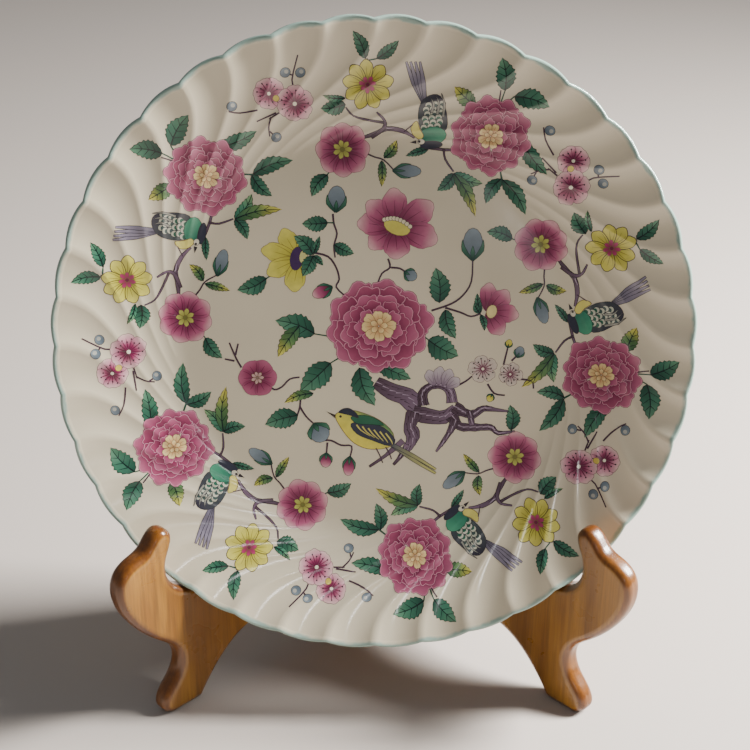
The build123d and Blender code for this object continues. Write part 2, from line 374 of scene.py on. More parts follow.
def oak_material():
    """Honey oak under a glossy lacquer, with painted shade darkening its rounded edges."""
    material, tree, shader = new_material("Lacquered oak")
    place = tree.nodes.new("ShaderNodeTexCoord")
    grain = node(tree, "ShaderNodeGroup", {"node_tree": grain_group()},
                 Vector=place.outputs["Object"])
    wood = mix(tree, grain.outputs["Bands"], (*colours().oak_dark, 1), (*colours().oak_light, 1))
    fibre = node(tree, "ShaderNodeMapRange", None, Value=grain.outputs["Fibres"], To_Min=0.72,
                 To_Max=1.1)
    streaked = shade(tree, wood, fibre.outputs["Result"])
    # how squarely a spot faces out of its board, whose faces stand at 45 degrees
    facing = node(tree, "ShaderNodeSeparateXYZ", None, _0=place.outputs["Normal"])
    side = node(tree, "ShaderNodeSeparateXYZ", None, _0=place.outputs["Object"])
    turned_x = sums(tree, "MULTIPLY", sums(tree, "SIGN", side.outputs["X"]), facing.outputs["X"])
    outward = sums(tree, "ABSOLUTE", sums(tree, "ADD", turned_x, facing.outputs["Y"]))
    # mask of the rounded edges, where shade is painted into the colour
    rounded = node(tree, "ShaderNodeMapRange", {"interpolation_type": "SMOOTHSTEP"},
                   Value=sums(tree, "MULTIPLY", outward, 0.7071), From_Min=0.84, From_Max=0.97,
                   To_Min=1.0, To_Max=0.0)
    feed(tree, shader,
         Base_Color=mix(tree, rounded.outputs["Result"], streaked, (*colours().painted_edge_shade, 1),
                        "MULTIPLY"),
         Roughness=uneven(tree, 40.0, 0.24, 0.38).outputs["Value"],
         Coat_Weight=0.3, Coat_Roughness=0.12,
         Normal=bump(tree, grain.outputs["Height"], 0.15, 0.0002))
    return material


def brass_material():
    """Satin brass with a little tarnish."""
    material, tree, shader = new_material("Satin brass")
    tone = uneven(tree, 150.0, 0.62, 1.05)
    feed(tree, shader,
         Base_Color=shade(tree, (*colours().brass, 1), tone.outputs["Value"]),
         Metallic=1.0, Roughness=uneven(tree, 320.0, 0.26, 0.46).outputs["Value"],
         Normal=bump(tree, tone.outputs["Height"], 0.2, 0.0001))
    return material


# ------------------------------------------------------------------ the platter
def meridian():
    """Half section from the middle of the well, over the edge, to the middle of the base.

    Each entry is radius, height, share of flute depth, share of scallop, turn and edge line.
    """
    s = sizes()
    front = [AXIS_GAP, 25.0, 50.0, 72.0, 86.0, 92.0, s.well_radius]
    radius = s.well_radius
    while radius < FRONT_END:
        radius += FINE_STEP if radius < FINE_END else WIDE_STEP
        front.append(min(radius, FRONT_LAST))
    section = []
    for radius in front:
        section.append((radius, dish_height(radius), flute_share(radius), scallop_share(radius),
                        flute_turn(radius), max(0.0, (radius - LINE_START) / LINE_FADE)))
    top = dish_height(s.cusp_radius)
    for inward, drop, line in EDGE:
        section.append((s.cusp_radius - inward, top - drop, 1.0, 1.0, 0.0, line))
    radius = BACK_START
    while radius > BACK_END:
        thick = RIM_THICKNESS + BODY_EXTRA * min(1.0, (s.cusp_radius - radius) / THICKEN_OVER)
        section.append((radius, dish_height(radius) - thick, BACK_FLUTES * flute_share(radius),
                        scallop_share(radius), flute_turn(radius), 0.0))
        radius -= BACK_STEP
    turn = flute_turn(s.well_radius)
    section.extend((radius, height, 0.0, 0.0, turn, 0.0) for radius, height in FOOT)
    return section


def lathe_tree():
    """Turns a half section round the axis, with flutes, scallops and swirl."""
    tree, given, result = new_tree(
        "Fluted lathe", "GeometryNodeTree",
        [("Geometry", "NodeSocketGeometry", None), ("Flutes", "NodeSocketInt", 40),
         ("Steps", "NodeSocketInt", 10), ("Flute depth", "NodeSocketFloat", 2.0),
         ("Scallop depth", "NodeSocketFloat", 2.0), ("Material", "NodeSocketMaterial", None)],
        [("Geometry", "NodeSocketGeometry")])
    count = node(tree, "GeometryNodeAttributeDomainSize", None, Geometry=given.outputs["Geometry"])
    rows = count.outputs["Point Count"]
    around = sums(tree, "MULTIPLY", given.outputs["Flutes"], given.outputs["Steps"])
    grid = node(tree, "GeometryNodeMeshGrid", None, Vertices_X=sums(tree, "ADD", around, 1.0),
                Vertices_Y=rows)
    index = tree.nodes.new("GeometryNodeInputIndex").outputs[0]
    column = sums(tree, "FLOOR", sums(tree, "DIVIDE", sums(tree, "ADD", index, 0.5), rows))
    row = sums(tree, "SUBTRACT", index, sums(tree, "MULTIPLY", column, rows))

    def looked_up(name, kind):
        named = node(tree, "GeometryNodeInputNamedAttribute", {"data_type": kind}, Name=name)
        found = node(tree, "GeometryNodeSampleIndex", {"data_type": kind}, Index=row,
                     Geometry=given.outputs["Geometry"], Value=named.outputs["Attribute"])
        return found.outputs["Value"]

    place = node(tree, "ShaderNodeSeparateXYZ", None, _0=looked_up("position", "FLOAT_VECTOR"))
    across = sums(tree, "FRACT", sums(tree, "DIVIDE", column, given.outputs["Steps"]))
    off_middle = sums(tree, "SUBTRACT", 1.0, sums(tree, "MULTIPLY", across, 2.0))
    ridge = sums(tree, "POWER", sums(tree, "ABSOLUTE", off_middle), 2.0)
    way_round = sums(tree, "MULTIPLY", sums(tree, "DIVIDE", column, around), math.tau)
    angle = sums(tree, "ADD", looked_up("turn", "FLOAT"),
                 sums(tree, "ADD", math.pi / 2, way_round))
    bulge = sums(tree, "MULTIPLY", sums(tree, "SUBTRACT", 1.0, ridge), sums(
        tree, "MULTIPLY", looked_up("scallop", "FLOAT"), given.outputs["Scallop depth"]))
    reach = sums(tree, "ADD", place.outputs["X"], bulge)
    height = sums(tree, "ADD", place.outputs["Z"], sums(tree, "MULTIPLY", ridge, sums(
        tree, "MULTIPLY", looked_up("flute", "FLOAT"), given.outputs["Flute depth"])))
    spot = node(tree, "ShaderNodeCombineXYZ", None, Z=height,
                X=sums(tree, "MULTIPLY", reach, sums(tree, "COSINE", angle)),
                Y=sums(tree, "MULTIPLY", reach, sums(tree, "SINE", angle)))
    moved = node(tree, "GeometryNodeSetPosition", None, Geometry=grid.outputs["Mesh"],
                 Position=spot.outputs[0])
    lined = node(tree, "GeometryNodeStoreNamedAttribute", {"data_type": "FLOAT", "domain": "POINT"},
                 Geometry=moved.outputs[0], Name="edge_line", Value=looked_up("edge", "FLOAT"))
    sewn = node(tree, "GeometryNodeMergeByDistance", None, Geometry=lined.outputs[0], Distance=0.06)
    soft = node(tree, "GeometryNodeSetShadeSmooth", None, Geometry=sewn.outputs[0])
    real = node(tree, "GeometryNodeRealizeInstances", None, Geometry=soft.outputs[0])
    dressed = node(tree, "GeometryNodeSetMaterial", None, Geometry=real.outputs[0],
                   Material=given.outputs["Material"])
    feed(tree, result, Geometry=dressed.outputs[0])
    return tree


class PLATTER_OT_dish(bpy.types.Operator):
    """Turn the fluted dish and glaze it"""

    bl_idname = "platter.dish"
    bl_label = "Dish"

    def execute(self, context):
        section = meridian()
        half = bpy.data.meshes.new("half section")
        half.from_pydata([(p[0], 0, p[1]) for p in section],
                         [(i, i + 1) for i in range(len(section) - 1)], [])
        for name, column in (("flute", 2), ("scallop", 3), ("turn", 4), ("edge", 5)):
            layer = half.attributes.new(name, "FLOAT", "POINT")
            layer.data.foreach_set("value", [p[column] for p in section])
        holder = bpy.data.objects.new("half section", half)
        context.scene.collection.objects.link(holder)
        s = sizes()
        mesh = apply_tree(holder, lathe_tree(), {
            "Flutes": s.flutes, "Steps": s.steps, "Flute depth": s.flute_depth,
            "Scallop depth": s.scallop_depth, "Material": glaze_material()}, "lathe")
        bpy.data.objects.remove(holder)
        bpy.data.meshes.remove(half)
        if len(mesh.polygons) < FEWEST_FACES:
            raise RuntimeError("the lathe made no dish")
        mesh.transform(Matrix.Scale(MM, 4))
        well = [p for p in mesh.polygons if p.center.z > 0.005 and p.center.xy.length < 0.09]
        if sum(p.normal.z * p.area for p in well) < 0:
            mesh.flip_normals()
        mesh.transform(platter_place())
        place_piece("platter_glazed", mesh, "platter", "glazed_china", "platter")
        return {"FINISHED"}


# ------------------------------------------------------------------ the painting kit
def rgb(*parts):
    """Display colour, 0 to 255, as a linear one."""
    return tuple(((p / 255 + 0.055) / 1.055) ** 2.4 for p in parts)


def stops_of(*stops):
    """Stops of a ramp, each a place and a display colour."""
    return tuple((place, rgb(*parts)) for place, *parts in stops)


INK = rgb(52, 44, 48)
BROWN = rgb(112, 88, 52)
GREEN = stops_of((0.0, 28, 62, 50), (0.5, 50, 98, 76), (1.0, 84, 126, 98))
PALE_GREEN = stops_of((0.0, 34, 84, 66), (0.5, 66, 120, 92), (1.0, 124, 156, 108))
YELLOW_TIP = stops_of((0.0, 28, 74, 54), (0.5, 84, 116, 66), (1.0, 204, 192, 82))
YELLOW = stops_of((0.0, 112, 104, 44), (0.3, 186, 178, 66), (1.0, 214, 206, 100))
PINK = stops_of((0.0, 76, 20, 46), (0.4, 132, 48, 84), (0.7, 176, 92, 124), (1.0, 216, 172, 172))
PLUM = stops_of((0.0, 72, 18, 42), (0.45, 120, 40, 72), (1.0, 160, 76, 106))
ROSE = stops_of((0.0, 84, 24, 50), (0.45, 138, 54, 88), (1.0, 180, 100, 128))
BLOSSOM = stops_of((0.0, 76, 14, 42), (0.3, 136, 44, 84), (0.6, 206, 140, 160),
                   (1.0, 222, 196, 186))
WHITE = stops_of((0.0, 120, 50, 84), (0.35, 186, 168, 162), (1.0, 212, 200, 182))
LILAC = stops_of((0.0, 120, 100, 120), (1.0, 196, 184, 186))
GREY_BLUE = stops_of((0.0, 82, 94, 106), (1.0, 132, 146, 154))
BARK = stops_of((0.0, 74, 54, 66), (1.0, 118, 96, 116))


def ramp(stops, place):
    """Colour at a place along (place, colour) stops."""
    place = min(max(place, stops[0][0]), stops[-1][0])
    for (low, first), (high, second) in zip(stops, stops[1:]):
        if place <= high:
            share = (place - low) / (high - low)
            return tuple(p + (q - p) * share for p, q in zip(first, second))
    return stops[-1][1]


def along(start, end, stops):
    """Fill that runs from start to end."""
    start = Vector(start)
    way = Vector(end) - start
    return lambda spot: ramp(stops, (spot - start).dot(way) / way.length_squared)


def smooth(points, parts=4, closed=False):
    """Catmull-Rom curve through points."""
    points = [Vector(p) for p in points]
    count = len(points)
    curve = []
    for i in range(count if closed else count - 1):
        around = [(i + k) % count if closed else min(max(i + k, 0), count - 1)
                  for k in (-1, 0, 1, 2)]
        near = [points[k] for k in around]
        for step in range(parts):
            t = step / parts
            curve.append(0.5 * (2 * near[1] + (near[2] - near[0]) * t
                                + (2 * near[0] - 5 * near[1] + 4 * near[2] - near[3]) * t**2
                                + (3 * near[1] - near[0] - 3 * near[2] + near[3]) * t**3))
    return curve if closed else curve + [points[-1]]


def leaf_swell(share):
    """Half width of a leaf along its length, up to 1."""
    return math.sin(math.pi * share**0.8) ** 0.85


def turned(point, angle):
    return Vector((point[0] * math.cos(angle) - point[1] * math.sin(angle),
                   point[0] * math.sin(angle) + point[1] * math.cos(angle)))


def left_of(way):
    """A quarter turn to the left."""
    return Vector((-way.y, way.x))


def sides_of(outline):
    return zip(outline, outline[1:] + outline[:1])


def winding(outline):
    """Above zero for an outline that runs anticlockwise."""
    return sum(a.cross(b) for a, b in sides_of(outline))


def inset(outline, width):
    """Outline moved inwards by a width."""
    count = len(outline)
    step = math.copysign(width, winding(outline))
    inner = []
    for i, spot in enumerate(outline):
        way = (outline[(i + 1) % count] - outline[i - 1]).normalized()
        inner.append(spot + left_of(way) * step)
    return inner


def holds(outline, spot):
    """Whether an outline holds a spot."""
    inside = False
    for a, b in sides_of(outline):
        if (a.y > spot.y) != (b.y > spot.y):
            if spot.x < a.x + (spot.y - a.y) * (b.x - a.x) / (b.y - a.y):
                inside = not inside
    return inside


class Painting:
    """Filled outlines in millimetres on the plan of the dish; later ones cover earlier ones."""

    def __init__(self, seed):
        self.outlines = []
        self.fills = []
        self.kinds = []
        self.kind = "foliage"
        self.chance = random.Random(seed)

    def area(self, outline, fill):
        """Add an outline; its fill is a colour, or a function from a spot to a colour."""
        outline = [Vector(p) for p in outline]
        self.outlines.append(outline if winding(outline) > 0 else outline[::-1])
        self.fills.append(fill if callable(fill) else lambda spot: fill)
        self.kinds.append(self.kind)

    def edged(self, outline, fill, line=INK, width=0.3):
        """Outline in the line colour, and the fill set in by its width."""
        outline = [Vector(p) for p in outline]
        self.area(outline, line)
        self.area(inset(outline, width), fill)

    def ribbon(self, points, widths, fill=None, line=None):
        """Stroke through points, tapering through the widths."""
        curve = smooth(points, 3)
        last = len(curve) - 1
        sides = ([], [])
        for i, spot in enumerate(curve):
            way = (curve[min(i + 1, last)] - curve[max(i - 1, 0)]).normalized()
            place = i / last * (len(widths) - 1)
            low = min(int(place), len(widths) - 2)
            wide = widths[low] + (widths[low + 1] - widths[low]) * (place - low)
            side = left_of(way) * wide / 2
            sides[0].append(spot + side)
            sides[1].append(spot - side)
        outline = sides[0] + sides[1][::-1]
        fill = fill or BARK[0][1]
        if line:
            self.edged(outline, fill, line, 0.28)
        else:
            self.area(outline, fill)

    def rounded(self, points, fill, line):
        """Closed curve through points, edged with a line."""
        self.edged(smooth(points, 3, True), fill, line)

    def twig(self, *points, width=0.9):
        self.ribbon(points, (width, width * 0.75))

    def trunk(self, points, widths):
        """Knobbly mauve branch with a dark edge and hatched bark."""
        lumpy = []
        for i in range(len(widths) * 4 - 3):
            share = i % 4 / 4
            wide = widths[i // 4] * (1 - share) + widths[min(i // 4 + 1, len(widths) - 1)] * share
            lumpy.append(wide * self.chance.uniform(0.86, 1.14))
        self.ribbon(points, lumpy, along(points[0], points[-1], BARK), rgb(40, 26, 36))
        curve = smooth(points, 5)
        for i in range(1, len(curve) - 2, 2):
            wide = widths[min(int(i / len(curve) * len(widths)), len(widths) - 1)]
            if wide > 2.5:
                way = (curve[i + 1] - curve[i - 1]).normalized()
                side = left_of(way) * wide
                for across, tone in ((-0.26, rgb(52, 34, 46)), (0.02, rgb(168, 150, 168)),
                                     (0.26, rgb(60, 42, 54))):
                    start = curve[i] + side * across - way * 1.2
                    self.ribbon((start, start + way * 3.4 + side * 0.1), (0.55, 0.12), tone)

    def leaf(self, base, tip, width, stops=GREEN, stem=None):
        """Serrated leaf in two tones with a dark midrib and side veins."""
        base, tip = Vector(base), Vector(tip)
        way = tip - base
        side = left_of(way).normalized()
        if stem:
            self.ribbon((stem, base), (0.8, 0.6), rgb(40, 74, 60))
        bend = self.chance.uniform(-0.11, 0.11) * way.length

        def spot(share, across):
            sway = bend * math.sin(math.pi * share)
            return base + way * share + side * (across * width / 2 + sway)

        halves = []
        for hand in (1, -1):
            edge = [spot(0, 0)]
            for i in range(1, 15):
                share = i / 15
                tooth = 0.0 if i % 2 else 0.17 * leaf_swell(share)
                edge.append(spot(share - (0.0 if i % 2 else 0.012),
                                 hand * (leaf_swell(share) * 0.96 - tooth)))
            edge.append(spot(1, 0))
            halves.append(edge)
        self.edged(halves[0] + halves[1][-2:0:-1], along(base, tip, stops), rgb(18, 38, 34), 0.28)
        light = [(place, tuple(min(1, part * 1.3 + 0.006) for part in tone)) for place,
                 tone in stops]
        inside = [spot(i / 8, 0) for i in range(9)]
        rim = [spot(i / 8, 0.78 * leaf_swell(i / 8)) for i in range(7, 0, -1)]
        self.area(inside + rim, along(base, tip, light))
        self.ribbon([spot(i / 4, 0) for i in range(4)] + [spot(0.96, 0)], (0.75, 0.26),
                    rgb(14, 34, 30))
        for i in (1, 2, 3):
            for hand in (1, -1):
                share = 0.02 + i * 0.2
                reach = leaf_swell(share + 0.1) * 0.72
                self.ribbon((spot(share, 0), spot(share + 0.15, hand * reach)), (0.45, 0.18),
                            rgb(16, 42, 36))

    def petal(self, base, tip, width, stops, line, ruffle=0.08, notch=0.0, streaks=2, rim=None,
              edge=0.2):
        """Rounded petal, scalloped or notched at its end, with streaks from its base."""
        base, tip = Vector(base), Vector(tip)
        way = tip - base
        side = left_of(way).normalized() * width / 2
        slip = self.chance.uniform(-0.5, 0.5)
        outline = []
        for i in range(24):
            turn = math.tau * i / 24
            share = 0.5 - 0.5 * math.cos(turn)
            swell = math.sin(turn) * (0.66 + 0.52 * share)
            lobe = 1 + ruffle * (abs(math.sin(2.5 * turn + slip * share)) - 0.6) * share
            dent = notch * math.exp(-((turn - math.pi) / 0.28) ** 2)
            outline.append(base + way * (share * lobe - dent) + side * swell * lobe)
        self.edged(outline, rim or along(base, tip, stops), line, edge)
        if rim:
            self.area(inset(outline, 0.26 + 0.03 * width), along(base, tip, stops))
        for k in range(streaks):
            lean = (k - (streaks - 1) / 2) * 0.5
            self.ribbon((base + way * 0.08, base + way * 0.4 + side * lean,
                         base + way * 0.7 + side * lean * 1.5),
                        (0.6, 0.12), ramp(stops, 0.1))

    def ring(self, centre, inner, outer, count, width, stops, line, start=0.0, squash=1.0, **more):
        """Petals round a centre."""
        for k in range(count):
            angle = start + math.tau * k / count + self.chance.uniform(-0.06, 0.06)
            reach = outer * self.chance.uniform(0.93, 1.04)
            way = Vector((math.cos(angle), math.sin(angle) * squash))
            self.petal(Vector(centre) + way * inner, Vector(centre) + way * reach, width, stops,
                       line, **more)

    def disc(self, centre, reach, fill, line=None, squash=1.0, lean=0.0):
        outline = []
        for k in range(14):
            angle = k * math.tau / 14
            spot = (reach * math.cos(angle), reach * squash * math.sin(angle))
            outline.append(Vector(centre) + turned(spot, lean))
        if line:
            self.edged(outline, fill, line, 0.22)
        else:
            self.area(outline, fill)

    def peony(self, centre, reach, squash=1.0, start=0.3):
        """Five rows of scalloped petals round a small cream flower."""
        line = rgb(88, 22, 52)
        pale = rgb(196, 132, 152)
        for outer, inner, count, size, stops in (
                (1.0, 0.5, 10, 0.58, ROSE), (0.86, 0.4, 9, 0.54, PLUM), (0.72, 0.32, 8, 0.46, ROSE),
                (0.58, 0.24, 8, 0.36, PLUM), (0.45, 0.14, 7, 0.3, ROSE)):
            self.ring(centre, reach * inner, reach * outer, count, reach * size, stops, line,
                      start + outer * 7, squash, ruffle=0.2, streaks=0, rim=pale)
        cream = stops_of((0.0, 176, 120, 84), (0.6, 220, 190, 130), (1.0, 228, 208, 152))
        self.ring(centre, reach * 0.08, reach * 0.35, 8, reach * 0.2, cream, BROWN, start, squash,
                  notch=0.12, streaks=1)
        self.ring(centre, reach * 0.01, reach * 0.17, 5, reach * 0.12, cream, BROWN, start, squash,
                  streaks=0)

    def open_flower(self, centre, reach, count=8, stops=PINK, heart=None, start=0.0):
        """Single row of petals with a stamen heart."""
        line = rgb(128, 74, 96) if stops is not YELLOW else rgb(62, 48, 32)
        size, edge = (5.0, 0.34) if stops is YELLOW else (6.2, 0.2)
        self.ring(centre, reach * 0.12, reach, count, reach * size / count, stops, line, start,
                  streaks=3, ruffle=0.05, edge=edge)
        heart = heart or rgb(190, 190, 92)
        lit = ((0.0, tuple(0.45 * part for part in heart)), (1.0, heart))
        self.ring(centre, reach * 0.04, reach * 0.34, 7, reach * 0.19, lit, BROWN, start, streaks=0)
        self.disc(centre, reach * 0.09, tuple(0.3 * part for part in heart), BROWN)

    def cherry(self, centre, reach, stops=BLOSSOM, start=0.5, count=5):
        """Notched blossom with dark stamens."""
        size = 4.4 if stops is WHITE else 5.4
        self.ring(centre, reach * 0.05, reach, count, reach * size / count, stops,
                  rgb(104, 72, 84), start, notch=0.1, streaks=1)
        for k in range(count * 3):
            way = turned((1, 0), start + k * math.tau / (count * 3))
            reached = reach * (0.5 + 0.16 * (k % 2))
            self.ribbon((Vector(centre) + way * reach * 0.1, Vector(centre) + way * reached),
                        (0.32, 0.2), rgb(96, 26, 58))
            self.disc(Vector(centre) + way * (reached + 0.3), 0.42, INK)
        self.disc(centre, reach * 0.13, rgb(232, 224, 200), rgb(96, 26, 58))

    def bud(self, base, tip, width, stops=GREY_BLUE, cup=GREEN):
        """Closed bud in its sepals."""
        base, tip = Vector(base), Vector(tip)
        way = tip - base
        lean = math.atan2(way.y, way.x)
        self.disc((base + tip) / 2, way.length / 2, along(base, tip, stops), INK,
                  width / way.length, lean)
        side = left_of(way).normalized() * width
        for reach, hand in ((0.62, 0.52), (0.62, -0.52), (0.42, 0.0)):
            end = base + way * reach + side * hand
            middle = base + way * reach * 0.45 + side * hand * 0.85
            self.ribbon((base - way * 0.06, middle, end), (width * 0.12, width * 0.26, 0.2),
                        along(base, end, cup), rgb(26, 52, 46))

    def lay(self, slips=(0.0,)):
        """Flat closed film of each kind, cut along the flute crests at each slip.

        The first plan shows which edges are seen; the second is made of those edges only.
        """
        boxes = []
        for one in self.outlines:
            wide, high = [p.x for p in one], [p.y for p in one]
            boxes.append((min(wide), max(wide), min(high), max(high)))

        def owner(corners):
            spot = sum(corners, Vector((0, 0))) / 3
            for n in range(len(boxes) - 1, -1, -1):
                box = boxes[n]
                near = box[0] < spot.x < box[1] and box[2] < spot.y < box[3]
                if near and holds(self.outlines[n], spot):
                    return n
            return None

        spots, edges = [], []
        for outline in self.outlines:
            first = len(spots)
            edges.extend((first + i, first + (i + 1) % len(outline)) for i in range(len(outline)))
            spots.extend(outline)
        plan, _, tiles = delaunay_2d_cdt(spots, edges, [], 0, WELD, False)[:3]
        sides = {}
        for tile in tiles:
            held = owner([plan[i] for i in tile])
            for i in range(3):
                sides[tile[i], tile[(i + 1) % 3]] = held
        seen = [pair for pair, held in sides.items()
                if held != sides.get(pair[::-1]) and (pair[0] < pair[1] or pair[::-1] not in sides)]
        used = {old: i for i, old in enumerate(sorted({i for pair in seen for i in pair}))}
        spots = [plan[i] for i in used]
        edges = [(used[a], used[b]) for a, b in seen]
        low = [min(p[i] for p in spots) for i in (0, 1)]
        high = [max(p[i] for p in spots) for i in (0, 1)]
        for k, slip in ((k, slip) for k in range(sizes().flutes) for slip in slips):
            crest = []
            for i in range(CREST_POINTS):
                radius = CREST_START + CREST_STEP * i
                angle = math.pi / 2 + math.tau * k / sizes().flutes + flute_turn(radius) - slip
                spot = Vector((radius * math.cos(angle), radius * math.sin(angle)))
                if low[0] < spot.x < high[0] and low[1] < spot.y < high[1]:
                    crest.append(spot)
                    if len(crest) > 1:
                        edges.append((len(spots), len(spots) + 1))
                        spots.extend(crest[-2:])
                else:
                    crest = []
        for i in range(int((high[0] - low[0]) / GRID)):
            for k in range(int((high[1] - low[1]) / GRID)):
                spots.append(Vector((low[0] + GRID * i + GRID / 2 * (k % 2), low[1] + GRID * k)))
        plan, _, tiles = delaunay_2d_cdt(spots, edges, [], 0, WELD, False)[:3]
        kept = {kind: ([], []) for kind in self.kinds}
        for tile in tiles:
            a, b, c = (plan[i] for i in tile)
            top = owner((a, b, c))
            if top is None:
                continue
            tile = tile if (b - a).cross(c - a) > 0 else tile[::-1]
            kept[self.kinds[top]][0].append(tile)
            kept[self.kinds[top]][1].append([self.fills[top](plan[i]) for i in tile])
        return {kind: film(kind, plan, *found) for kind, found in kept.items()}


def film(name, plan, tiles, tones):
    """Closed film from flat triangles and their corner colours; its top points are marked."""
    tiles = [list(t) for t in tiles]
    owner_of = {}
    for number, tile in enumerate(tiles):
        for i in range(3):
            owner_of[tile[i], tile[(i + 1) % 3]] = number
    corners = {}
    for number, tile in enumerate(tiles):
        for i in tile:
            corners.setdefault(i, []).append(number)
    places = [Vector(p) for p in plan]
    for spot, users in list(corners.items()):
        left = set(users)
        first = True
        while left:
            fan, queue = set(), [next(iter(left))]
            while queue:
                number = queue.pop()
                if number in fan:
                    continue
                fan.add(number)
                tile = tiles[number]
                at = tile.index(spot) if spot in tile else -1
                for other in (tile[(at + 1) % 3], tile[(at + 2) % 3]):
                    for pair in ((spot, other), (other, spot)):
                        if pair in owner_of and owner_of[pair] in left:
                            queue.append(owner_of[pair])
            left -= fan
            if not first:
                places.append(places[spot])
                for number in fan:
                    tile = tiles[number]
                    for i in range(3):
                        owner_of.pop((tile[i], tile[(i + 1) % 3]), None)
                    tile[tile.index(spot)] = len(places) - 1
                    for i in range(3):
                        owner_of[tile[i], tile[(i + 1) % 3]] = number
            first = False
    used = sorted({i for tile in tiles for i in tile})
    new = {old: i for i, old in enumerate(used)}
    count = len(used)
    verts = [(places[i].x, places[i].y, 0) for i in used] * 2
    faces, paint, skirts = [], [], []
    for tile, tone in zip(tiles, tones):
        faces.append([new[i] for i in tile])
        paint.append(tone)
    for tile, tone in zip(tiles, tones):
        faces.append([new[i] + count for i in tile[::-1]])
        paint.append(tone[::-1])
    for number, tile in enumerate(tiles):
        for i in range(3):
            a, b = tile[i], tile[(i + 1) % 3]
            if (b, a) not in owner_of:
                skirts.append((new[a], new[b]))
                faces.append([new[b], new[a], new[a] + count, new[b] + count])
                paint.append([tones[number][i]] * 4)
    mesh = bpy.data.meshes.new(name)
    mesh.from_pydata(verts, [], faces)
    colour = mesh.color_attributes.new("paint", "FLOAT_COLOR", "CORNER")
    colour.data.foreach_set("color",
                            [part for tone in paint for one in tone for part in (*one, 1.0)])
    rims = {frozenset(pair) for pair in skirts}
    for edge in mesh.edges:
        if frozenset(edge.vertices) in rims:
            edge.use_edge_sharp = True
    mesh.polygons.foreach_set("use_smooth", [True] * len(mesh.polygons))
    top = mesh.attributes.new("top", "FLOAT", "POINT")
    top.data.foreach_set("value", [1.0] * count + [0.0] * count)
    return mesh


# ------------------------------------------------------------------ the sprays
def paint_bird(p):
    """Small bird perched head down, tail up."""
    dark = rgb(48, 44, 54)
    for shift in (-3.2, -1.1, 1.2, 3.4):
        p.ribbon(((25, 116), (21.5 + shift * 0.7, 127), (18.6 + shift, 137.5)), (1.6, 2.5, 1.2),
                 along((25, 115), (19, 137), stops_of((0, 92, 88, 104), (1, 140, 132, 148))), dark)
    p.rounded(((22.5, 117.5), (27, 121.5), (32.3, 121), (35.4, 113), (35.6, 105), (30, 102),
               (24, 103), (21.5, 110)),
              along((23, 104), (34, 120), stops_of((0, 70, 80, 80), (1, 52, 48, 60))), dark)
    for row in range(5, -1, -1):
        for k in range(3):
            spot = Vector((24.4 + 3.3 * k + 0.9 * (row % 2) + 0.25 * row,
                           105.6 + 2.2 * row + 0.4 * k))
            p.disc(spot, 1.75, rgb(190, 192, 172), dark, 0.95)
            p.disc(spot - Vector((0, 0.75)), 1.2, rgb(64, 84, 80) if row > 2 else rgb(44, 96, 76),
                   None, 0.9)
    for k in range(3):
        p.ribbon(((33.6 - 2.8 * k, 111 + k), (34.2 - 2.6 * k, 117), (32.6 - 2.6 * k, 122.4 - k)),
                 (1.5, 1.3, 0.4), rgb(150, 150, 138), dark)
    p.disc((28.8, 101.6), 6.9,
           along((24, 99), (33, 105), stops_of((0, 36, 104, 84), (1, 74, 150, 116))),
           rgb(24, 56, 48), 0.66, 0.1)
    p.rounded(((22.5, 99.5), (19, 102), (18, 106), (21, 109), (22.6, 105), (24.5, 101.5)),
              rgb(216, 206, 110), BROWN)
    p.rounded(((22.6, 96.2), (27, 94.8), (32.4, 95.8), (33.8, 97.6), (31, 99), (25, 98.8)),
              rgb(44, 46, 60), INK)
    p.disc((23.2, 98.6), 1.9, rgb(214, 208, 186), dark, 0.8)
    p.disc((22.3, 98.7), 0.65, INK)
    p.area(((20.9, 99.4), (17.6, 98.2), (20.9, 97.5)), INK)
    p.ribbon(((19, 107), (16.5, 105), (14.6, 103.4)), (0.6, 0.5))


